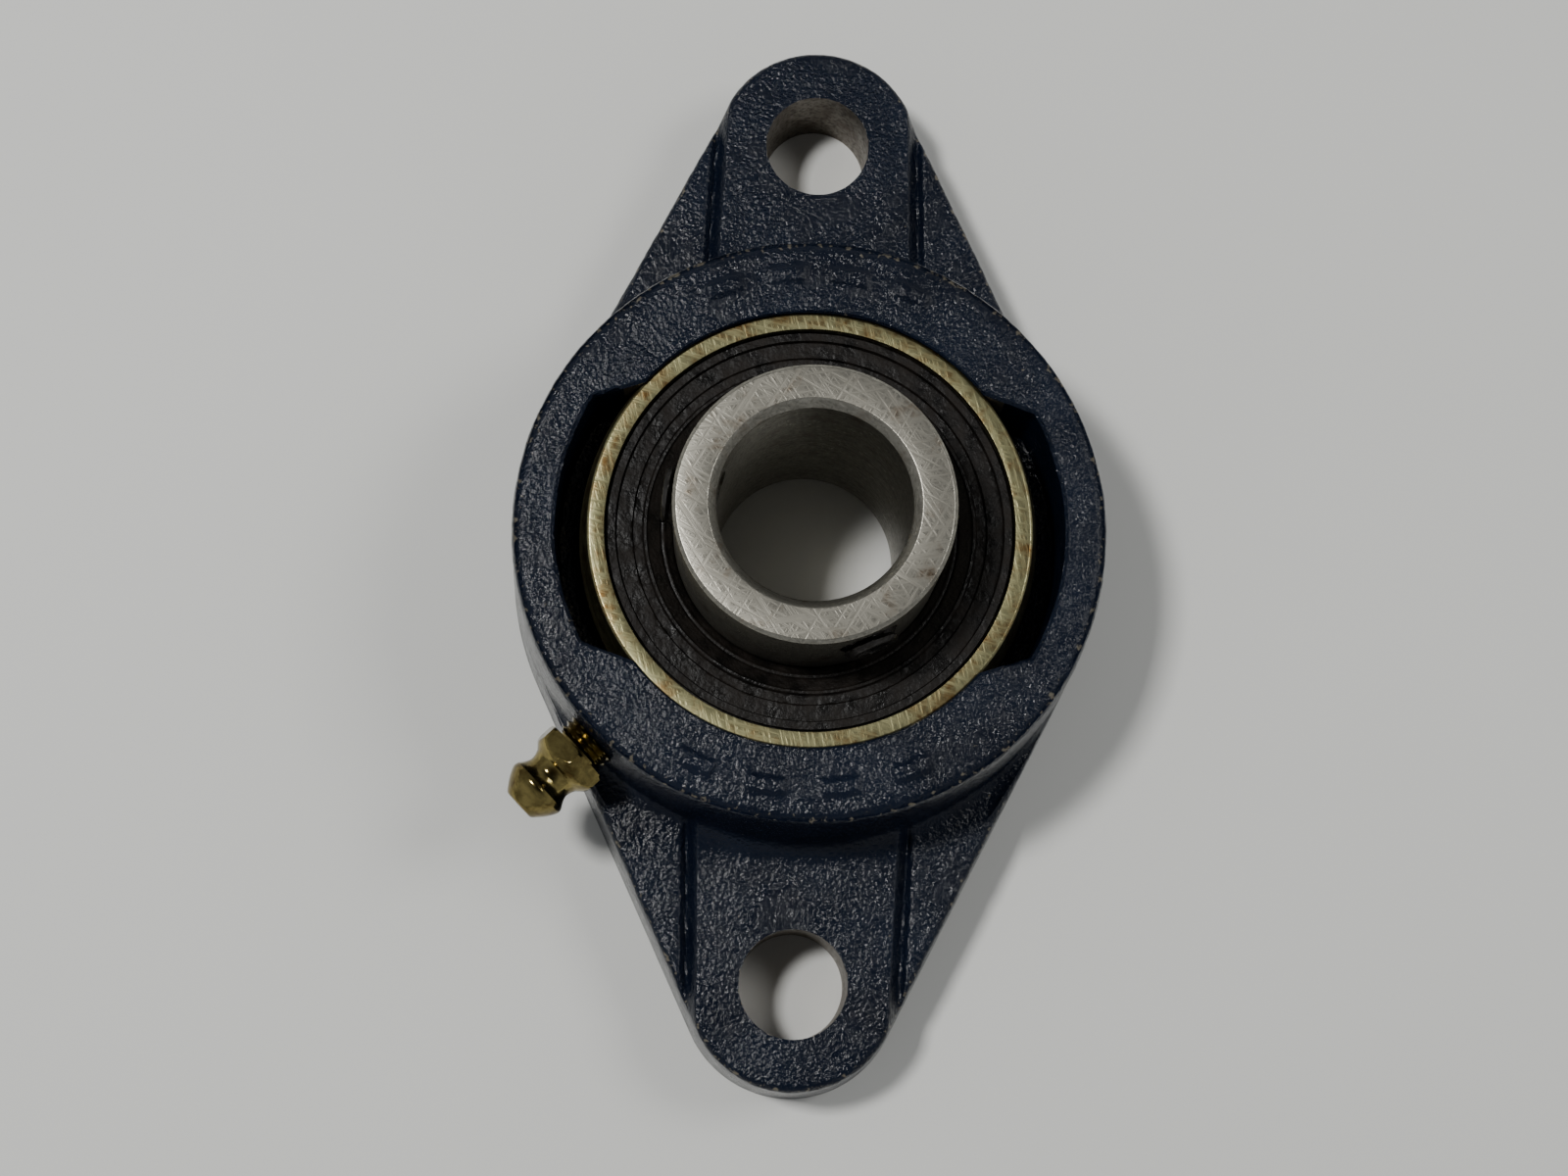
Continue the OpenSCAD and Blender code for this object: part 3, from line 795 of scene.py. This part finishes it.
ring_low, ring_high = box_mm("outer_ring")
SPHERE_R = ring_high[0]
HALF_W = (ring_high[2] - ring_low[2]) / 2
ball_low, ball_high = box_mm("ball_1")
BALL_R = (ball_high[0] - ball_low[0]) / 2
PITCH_R = (ball_high[0] + ball_low[0]) / 2
RACE_R = BALL_R * 1.04
RACE_GAP = 0.03
LAND_R = 19.2
tilt = np.degrees(np.arcsin(HALF_W / SPHERE_R)) - 0.4
race = PITCH_R + BALL_R + RACE_GAP - RACE_R
bite = np.degrees(np.arccos((LAND_R - race) / RACE_R))
outline = arc((0, 0), SPHERE_R, -tilt, tilt, 40)
outline += [(22.2, HALF_W), (20.7, HALF_W), (20.7, 5.95), (20.95, 5.9), (21.0, 5.0), (LAND_R, 5.0)]
outline += arc((race, 0), RACE_R, bite, -bite, RACE_POINTS)
outline += [(LAND_R, -5.0), (21.0, -5.0), (20.95, -5.9), (20.7, -5.95), (20.7, -HALF_W), (22.2, -HALF_W)]
outer = skin("outer_race", turned(eased(outline, 0.08)))
crease(outer, 30)
outer.data.materials.append(
    metal("stained_ring_steel", (0.3, 0.285, 0.155), (0.17, 0.1, 0.035), 0.36, 0.5, 520,
          ((15, 0.12), (80, 0.12)), 2400)
)
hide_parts("outer_ring")
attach(outer, "outer_ring")


# ------------------------------------------------------------- inner ring
# The wide inner ring stands out past the seals and carries the two set screws. Its end
# is ground, and handling has crossed it with scratches and small rust spots.

inner_low, inner_high = box_mm("inner_ring")
BORE_R = mounts["shaft_bore"]["dims"]["r_mm"]
INNER_R = inner_high[0]
TOP = inner_high[2] - SEAT_Z
BOTTOM = inner_low[2] - SEAT_Z
BORE_CHAMFER = 0.85
INNER_EDGE = 0.35
race = PITCH_R - BALL_R - RACE_GAP + RACE_R
bite = np.degrees(np.arccos((race - INNER_R) / RACE_R))
outline = [(BORE_R, BOTTOM + BORE_CHAMFER), (BORE_R + BORE_CHAMFER, BOTTOM)]
outline += [(INNER_R - INNER_EDGE, BOTTOM), (INNER_R, BOTTOM + INNER_EDGE)]
outline += arc((race, 0), RACE_R, 180 + bite, 180 - bite, RACE_POINTS)
outline += [(INNER_R, TOP - INNER_EDGE), (INNER_R - INNER_EDGE, TOP), (BORE_R + BORE_CHAMFER, TOP)]
outline += [(BORE_R, TOP - BORE_CHAMFER)]
inner = skin("inner_race", turned(eased(outline, 0.07)))
screw_axes = [-np.array(joints[f"set_screw_{n}_travel"]["axis"]) for n in (1, 2)]
screw_origin = np.array([0, 0, sum(box_mm("set_screw_1"))[2] / 2])
SCREW_R = 3.0
holes = [rod(SCREW_R, screw_origin + axis * 5, screw_origin + axis * 20, 64) for axis in screw_axes]
cut(inner, holes)
crease(inner, 30)
inner.data.materials.append(
    metal("ground_ring_steel", (0.37, 0.355, 0.305), (0.16, 0.11, 0.065), 0.34, 0.2, 380,
          ((35, 0.04), (62, 0.05), (-30, 0.04), (100, 0.06)), 2600)
)
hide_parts("inner_ring")
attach(inner, "inner_ring")


# ------------------------------------------------------------------ seals
# Each seal is a steel washer with nitrile rubber moulded over it. The rubber has stepped
# rings across its face and a thin lip that wipes the inner ring, and grease clings to it.

SEAL_SIDES = 480
CRUST_SUNK = 0.04


def seal_outline():
    """Section of the rubber above the insert's centre: the bead in the outer ring's groove,
    the steps of its face, the lip, and the side that lies on the washer."""
    lip = INNER_R + 0.05
    outline = [(20.3, 5.1), (20.92, 5.1), (20.95, 5.7), (20.45, 5.85), (20.4, 6.5), (19.65, 6.5)]
    outline += [(19.5, 6.05), (17.95, 6.05), (17.8, 5.8), (16.95, 5.8), (16.75, 6.1), (16.5, 6.1)]
    outline += [(16.4, 5.85), (15.15, 5.3), (15.0, 5.0), (14.75, 5.05), (14.5, 4.85)]
    outline += [(lip + 0.15, 4.6), (lip, 4.45), (lip, 4.15), (14.7, 4.5), (16.2, 5.0)]
    outline += [(16.3, 5.1), (16.3, 5.6), (20.3, 5.6)]
    return np.array(outline)


def spaced(outline, step):
    """The outline with points added so that no side is longer than step: each side is cut
    into equal parts."""
    after = np.roll(outline, -1, 0)
    out = []
    for a, b in zip(outline, after):
        count = max(1, int(np.ceil(np.linalg.norm(b - a) / step)))
        out.append(a + (b - a) * (np.arange(count) / count)[:, None])
    return np.concatenate(out)


def greasy_rubber():
    """Brown-black rubber under smeared grease: the tone wanders between black and brown,
    wet patches shine, and grit and dried grease make it rough."""
    material = bpy.data.materials.new("greasy_rubber")
    material.use_nodes = True
    nodes = material.node_tree.nodes
    links = material.node_tree.links
    nodes.clear()

    place = nodes.new("ShaderNodeTexCoord")
    place.label = "Place on the seal"
    place.location = (-1300, 0)

    tone_frame = nodes.new("NodeFrame")
    tone_frame.label = "Rubber and grease"
    smear = nodes.new("ShaderNodeTexNoise")
    smear.label = "Smeared grease"
    smear.location = (-1050, 250)
    smear.parent = tone_frame
    smear.inputs["Scale"].default_value = 480
    smear.inputs["Detail"].default_value = 6
    tone = nodes.new("ShaderNodeValToRGB")
    tone.label = "Black to brown"
    tone.location = (-800, 250)
    tone.parent = tone_frame
    tone.color_ramp.elements[0].position = 0.38
    tone.color_ramp.elements[0].color = (0.0024, 0.002, 0.0018, 1)
    tone.color_ramp.elements[1].position = 0.72
    tone.color_ramp.elements[1].color = (0.0095, 0.007, 0.0053, 1)

    wet_frame = nodes.new("NodeFrame")
    wet_frame.label = "Wet patches and grit"
    wet = nodes.new("ShaderNodeMapRange")
    wet.label = "Wet or dry"
    wet.location = (-800, 0)
    wet.parent = wet_frame
    wet.inputs["From Min"].default_value = 0.35
    wet.inputs["From Max"].default_value = 0.65
    wet.inputs["To Min"].default_value = 0.3
    wet.inputs["To Max"].default_value = 0.62
    grit = nodes.new("ShaderNodeTexNoise")
    grit.label = "Grit in the grease"
    grit.location = (-1050, -250)
    grit.parent = wet_frame
    grit.inputs["Scale"].default_value = 2600
    grit.inputs["Detail"].default_value = 4
    bump = nodes.new("ShaderNodeBump")
    bump.label = "Raise the grit"
    bump.location = (-600, -250)
    bump.parent = wet_frame
    bump.inputs["Strength"].default_value = 0.8
    bump.inputs["Distance"].default_value = 0.00012

    shader = nodes.new("ShaderNodeBsdfPrincipled")
    shader.label = "Rubber"
    shader.location = (-300, 0)
    shader.inputs["Specular IOR Level"].default_value = 0.18
    out = nodes.new("ShaderNodeOutputMaterial")
    out.label = "Seal's face"
    out.location = (30, 0)

    links.new(place.outputs["Object"], smear.inputs["Vector"])
    links.new(place.outputs["Object"], grit.inputs["Vector"])
    links.new(smear.outputs["Fac"], tone.inputs["Fac"])
    links.new(tone.outputs["Color"], shader.inputs["Base Color"])
    links.new(smear.outputs["Fac"], wet.inputs["Value"])
    links.new(wet.outputs["Result"], shader.inputs["Roughness"])
    links.new(grit.outputs["Fac"], bump.inputs["Height"])
    links.new(bump.outputs["Normal"], shader.inputs["Normal"])
    links.new(shader.outputs["BSDF"], out.inputs["Surface"])
    return material


rubber = greasy_rubber()
for name, side in (("front_seal", 1), ("rear_seal", -1)):
    outline = spaced(seal_outline(), 0.16)
    points = turned(outline * [1, side], SEAL_SIDES)
    on_face = smooth(outline[:, 1], 5.25, 5.6) * smooth(outline[:, 0], 16.3, 16.6)
    crust = 0.05 * lumps(points, 0.45, 11) + 0.03 * lumps(points, 1.3, 13) - CRUST_SUNK
    points[..., 2] += side * on_face * crust
    seal = skin(name, points)
    crease(seal, 55)
    seal.data.materials.append(rubber)
    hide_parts(f"{name}_rubber")
    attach(seal, "outer_ring")


# -------------------------------------------------------------- set screws
# Two headless M6 screws of blackened alloy steel clamp the ring to its shaft. Each has a
# cup point, a rolled thread and a hexagon socket, and here both are backed out.

SCREW_SIDES = 96
SCREW_LEN = 5.0
SCREW_TIP = BORE_R + 0.28
SCREW_PITCH = 1.0
CREST_R = 2.95
ROOT_DEPTH = 0.5
SOCKET_R = 1.6
SOCKET_FLATS = 3.0
SOCKET_FLOOR = SCREW_LEN - 2.4

# Section of a screw, as distances from its tip and radii: the cup point, the thread, the
# bevelled end, and then the socket and the cone that its drill left.
outside = [(0.5, 0.02), (0.15, 0.7), (0.0, 1.15), (0.0, 1.6), (0.35, 2.15), (0.75, 2.6)]
outside += [(z, CREST_R) for z in np.arange(0.85, SCREW_LEN - 0.4, 0.08)]
outside += [(SCREW_LEN - 0.3, 2.75), (SCREW_LEN - 0.05, 2.5), (SCREW_LEN, 2.4)]
outside += [(SCREW_LEN, 1.95), (SCREW_LEN - 0.02, 1.78)]
socket = [(SCREW_LEN - 0.15, SOCKET_R), (SCREW_LEN - 1.2, SOCKET_R), (SOCKET_FLOOR, SOCKET_R)]
drill_point = [(SOCKET_FLOOR - 0.35, 0.8), (SOCKET_FLOOR - 0.5, 0.02)]
section = np.array(outside + socket + drill_point)
reach = section[:, 0]
turn = np.linspace(0, 2 * np.pi, SCREW_SIDES, endpoint=False)[:, None]
radius = np.repeat(section[None, :, 1], SCREW_SIDES, 0)
phase = np.mod(reach[None] / SCREW_PITCH - turn / (2 * np.pi), 1)
ridge = ROOT_DEPTH * np.abs(2 * phase - 1) ** THREAD_CURVE
radius = np.where(section[:, 1] == CREST_R, CREST_R - ridge, radius)
row = np.arange(len(section))
in_socket = (row >= len(outside)) & (row < len(outside) + len(socket))
radius = np.where(in_socket, hexagon(turn, SOCKET_FLATS), radius)
blackened = metal("black_oxide", (0.06, 0.057, 0.055), (0.02, 0.017, 0.014), 0.42, 0.5, 700)


def capped(name, points):
    """A closed mesh from a grid that wraps round in its first direction only. Its first and
    last rows are closed with one face each."""
    columns, rows = points.shape[:2]
    index = np.arange(columns * rows).reshape(columns, rows)
    after = np.roll(index, -1, 0)
    quads = np.stack([index[:, :-1], after[:, :-1], after[:, 1:], index[:, 1:]], -1).reshape(-1, 4)
    faces = quads.tolist() + [index[::-1, 0].tolist(), index[:, -1].tolist()]
    mesh = bpy.data.meshes.new(name)
    mesh.from_pydata((points.reshape(-1, 3) * MM).tolist(), [], faces)
    piece = bpy.data.objects.new(name, mesh)
    bpy.context.scene.collection.objects.link(piece)
    return piece


for n, axis in enumerate(screw_axes, 1):
    screw = capped(f"grub_screw_{n}", laid_out(radius, reach + SCREW_TIP, screw_origin, axis))
    crease(screw, 32)
    screw.data.materials.append(blackened)
    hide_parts(f"set_screw_{n}")
    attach(screw, f"set_screw_{n}")


# ------------------------------------------------- balls, cage and small parts
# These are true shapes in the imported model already, so they keep their meshes. Polished
# balls run in a riveted sheet steel cage, and washers stiffen the seals.

polished = metal("polished_ball_steel", (0.72, 0.72, 0.73), (0.6, 0.6, 0.6), 0.08, 0.1, 200)
pressed = metal("pressed_sheet_steel", (0.38, 0.375, 0.36), (0.2, 0.17, 0.13), 0.38, 0.4, 500)
washer = metal("washer_steel", (0.3, 0.3, 0.3), (0.14, 0.12, 0.1), 0.4, 0.4, 500)
wire = metal("spring_wire", (0.4, 0.4, 0.41), (0.2, 0.18, 0.15), 0.3, 0.3, 800)
finishes = {f"ball_{n}": polished for n in range(1, 9)}
finishes.update({"nipple_ball": polished, "nipple_spring": wire})
finishes.update({"cage_front": pressed, "cage_rear": pressed, "cage_rivets": pressed})
finishes.update({"front_seal_plate": washer, "rear_seal_plate": washer})
for node, finish in finishes.items():
    mesh = frame["nodes"][node].data
    mesh.materials.clear()
    mesh.materials.append(finish)


# ------------------------------------------------------------ table and light
# The bearing lies on a flat table top in pale matt paint. A small lamp stands over its left
# side and a larger, weaker one over its right, and the room's walls fill the shadows.


def table_paint():
    """Pale matt paint with a faint, slow change of tone."""
    material = bpy.data.materials.new("table_paint")
    material.use_nodes = True
    nodes = material.node_tree.nodes
    links = material.node_tree.links
    nodes.clear()

    place = nodes.new("ShaderNodeTexCoord")
    place.label = "Place on the table"
    place.location = (-900, 0)

    tone_frame = nodes.new("NodeFrame")
    tone_frame.label = "Tone of the paint"
    mottle = nodes.new("ShaderNodeTexNoise")
    mottle.label = "Slow mottle"
    mottle.location = (-650, 0)
    mottle.parent = tone_frame
    mottle.inputs["Scale"].default_value = 14
    mottle.inputs["Detail"].default_value = 6
    tone = nodes.new("ShaderNodeValToRGB")
    tone.label = "Pale grey"
    tone.location = (-420, 0)
    tone.parent = tone_frame
    tone.color_ramp.elements[0].color = (0.60, 0.605, 0.585, 1)
    tone.color_ramp.elements[1].color = (0.65, 0.655, 0.635, 1)

    shader = nodes.new("ShaderNodeBsdfPrincipled")
    shader.label = "Matt paint"
    shader.location = (-150, 0)
    shader.inputs["Roughness"].default_value = 0.65
    out = nodes.new("ShaderNodeOutputMaterial")
    out.label = "Table top"
    out.location = (160, 0)

    links.new(place.outputs["Object"], mottle.inputs["Vector"])
    links.new(mottle.outputs["Fac"], tone.inputs["Fac"])
    links.new(tone.outputs["Color"], shader.inputs["Base Color"])
    links.new(shader.outputs["BSDF"], out.inputs["Surface"])
    return material


TABLE = 2.0  # metres from the middle to an edge
mesh = bpy.data.meshes.new("table")
corners = [(-TABLE, -TABLE, 0), (TABLE, -TABLE, 0), (TABLE, TABLE, 0), (-TABLE, TABLE, 0)]
mesh.from_pydata(corners, [], [(0, 1, 2, 3)])
table = bpy.data.objects.new("table", mesh)
bpy.context.scene.collection.objects.link(table)
table.data.materials.append(table_paint())


def lamp(name, place, size, watts, colour):
    """A soft square lamp: its back axis runs along its own place, so that it points at the
    middle of the bearing's mounting face. Place and size are in metres."""
    data = bpy.data.lights.new(name, "AREA")
    data.size = size
    data.energy = watts
    data.color = colour
    made = bpy.data.objects.new(name, data)
    bpy.context.scene.collection.objects.link(made)
    made.location = place
    made.rotation_euler = made.location.to_track_quat("Z", "Y").to_euler()


lamp("left_lamp", (-0.3, 0.07, 0.7), 0.1, 4.5, (1.0, 0.99, 0.97))
lamp("right_lamp", (0.5, 0.14, 0.62), 0.26, 1.8, (1.0, 0.99, 0.96))

# The room is pale at the sides and dark overhead, by the height of each direction.
world = bpy.data.worlds.new("room")
bpy.context.scene.world = world
world.use_nodes = True
nodes = world.node_tree.nodes
links = world.node_tree.links
background = nodes["Background"]
background.label = "Light of the room"
direction = nodes.new("ShaderNodeTexCoord")
direction.label = "Direction"
direction.location = (-900, 0)
height_frame = nodes.new("NodeFrame")
height_frame.label = "Tone by height"
split = nodes.new("ShaderNodeSeparateXYZ")
split.label = "Height of the direction"
split.location = (-700, 0)
split.parent = height_frame
walls = nodes.new("ShaderNodeValToRGB")
walls.label = "Pale walls, dark ceiling"
walls.location = (-480, 0)
walls.parent = height_frame
walls.color_ramp.elements[0].position = 0.55
walls.color_ramp.elements[0].color = (0.48, 0.49, 0.5, 1)
walls.color_ramp.elements[1].position = 0.93
walls.color_ramp.elements[1].color = (0.065, 0.069, 0.078, 1)
links.new(direction.outputs["Generated"], split.inputs["Vector"])
links.new(split.outputs["Z"], walls.inputs["Fac"])
links.new(walls.outputs["Color"], background.inputs["Color"])
background.inputs["Strength"].default_value = 0.8


# ------------------------------------------------------------------ camera
# The camera stands 26 cm above the table, over the bolt hole at -Y, and looks almost
# straight down at the bearing. Its three axes are unit vectors in the bearing's frame.

camera_data = bpy.data.cameras.new("camera")
camera_data.sensor_width = 36
camera_data.lens = 56.85
camera_data.clip_start = 0.01
camera = bpy.data.objects.new("camera", camera_data)
bpy.context.scene.collection.objects.link(camera)
right = (0.9990001, 0.03015024, 0.03301154)
up = (-0.03594399, 0.98073364, 0.19201446)
back = (-0.02658625, -0.19300903, 0.98083673)
turned_to = Matrix((right, up, back)).transposed().to_4x4()
camera.matrix_world = Matrix.Translation((-0.009057, -0.05408, 0.264859)) @ turned_to
bpy.context.scene.camera = camera
